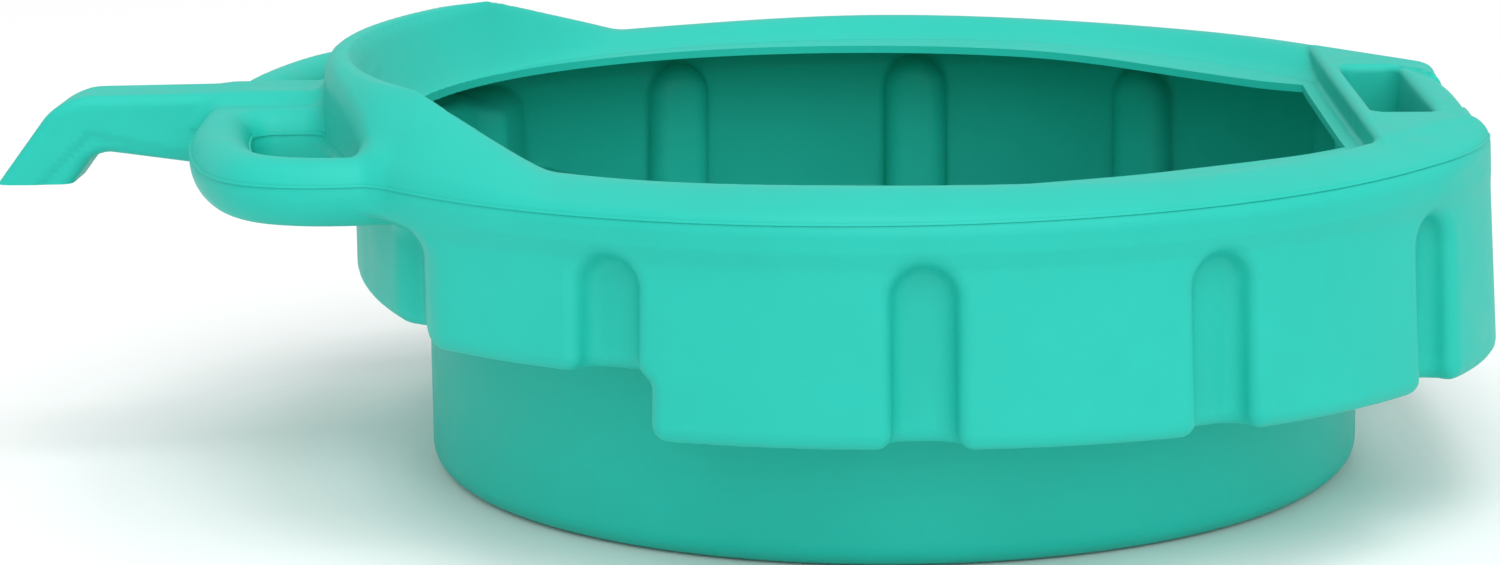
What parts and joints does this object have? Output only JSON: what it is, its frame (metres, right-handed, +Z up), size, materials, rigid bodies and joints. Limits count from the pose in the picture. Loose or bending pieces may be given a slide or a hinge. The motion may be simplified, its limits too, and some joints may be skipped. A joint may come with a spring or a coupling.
{
  "type": "oil drain pan",
  "caption": "Moulded oil drain pan: round sump, stepped fluted skirt, anti-splash rim, raised pour guard with bent spout, loop handles and grip deck.",
  "frame": {"origin": "centre of the sump's round base, on the ground", "axes": "+Z up; +X from the pour spout towards the grip deck; +Y from the near handle towards the far handle"},
  "size_m": [0.5516, 0.4614, 0.1575],
  "materials": {
    "moulded_plastic": "satin"
  },
  "bodies": {
    "root": {"sump_floor": "moulded_plastic", "sump_wall": "moulded_plastic", "deep_shelf": "moulded_plastic", "pour_shelf": "moulded_plastic", "deep_skirt": "moulded_plastic", "pour_skirt": "moulded_plastic", "finger_well": "moulded_plastic", "mouth_lip": "moulded_plastic", "grip_deck": "moulded_plastic", "pour_guard": "moulded_plastic", "near_rim": "moulded_plastic", "far_rim": "moulded_plastic", "pour_spout": "moulded_plastic", "near_handle": "moulded_plastic", "far_handle": "moulded_plastic"}
  },
  "joints": []
}
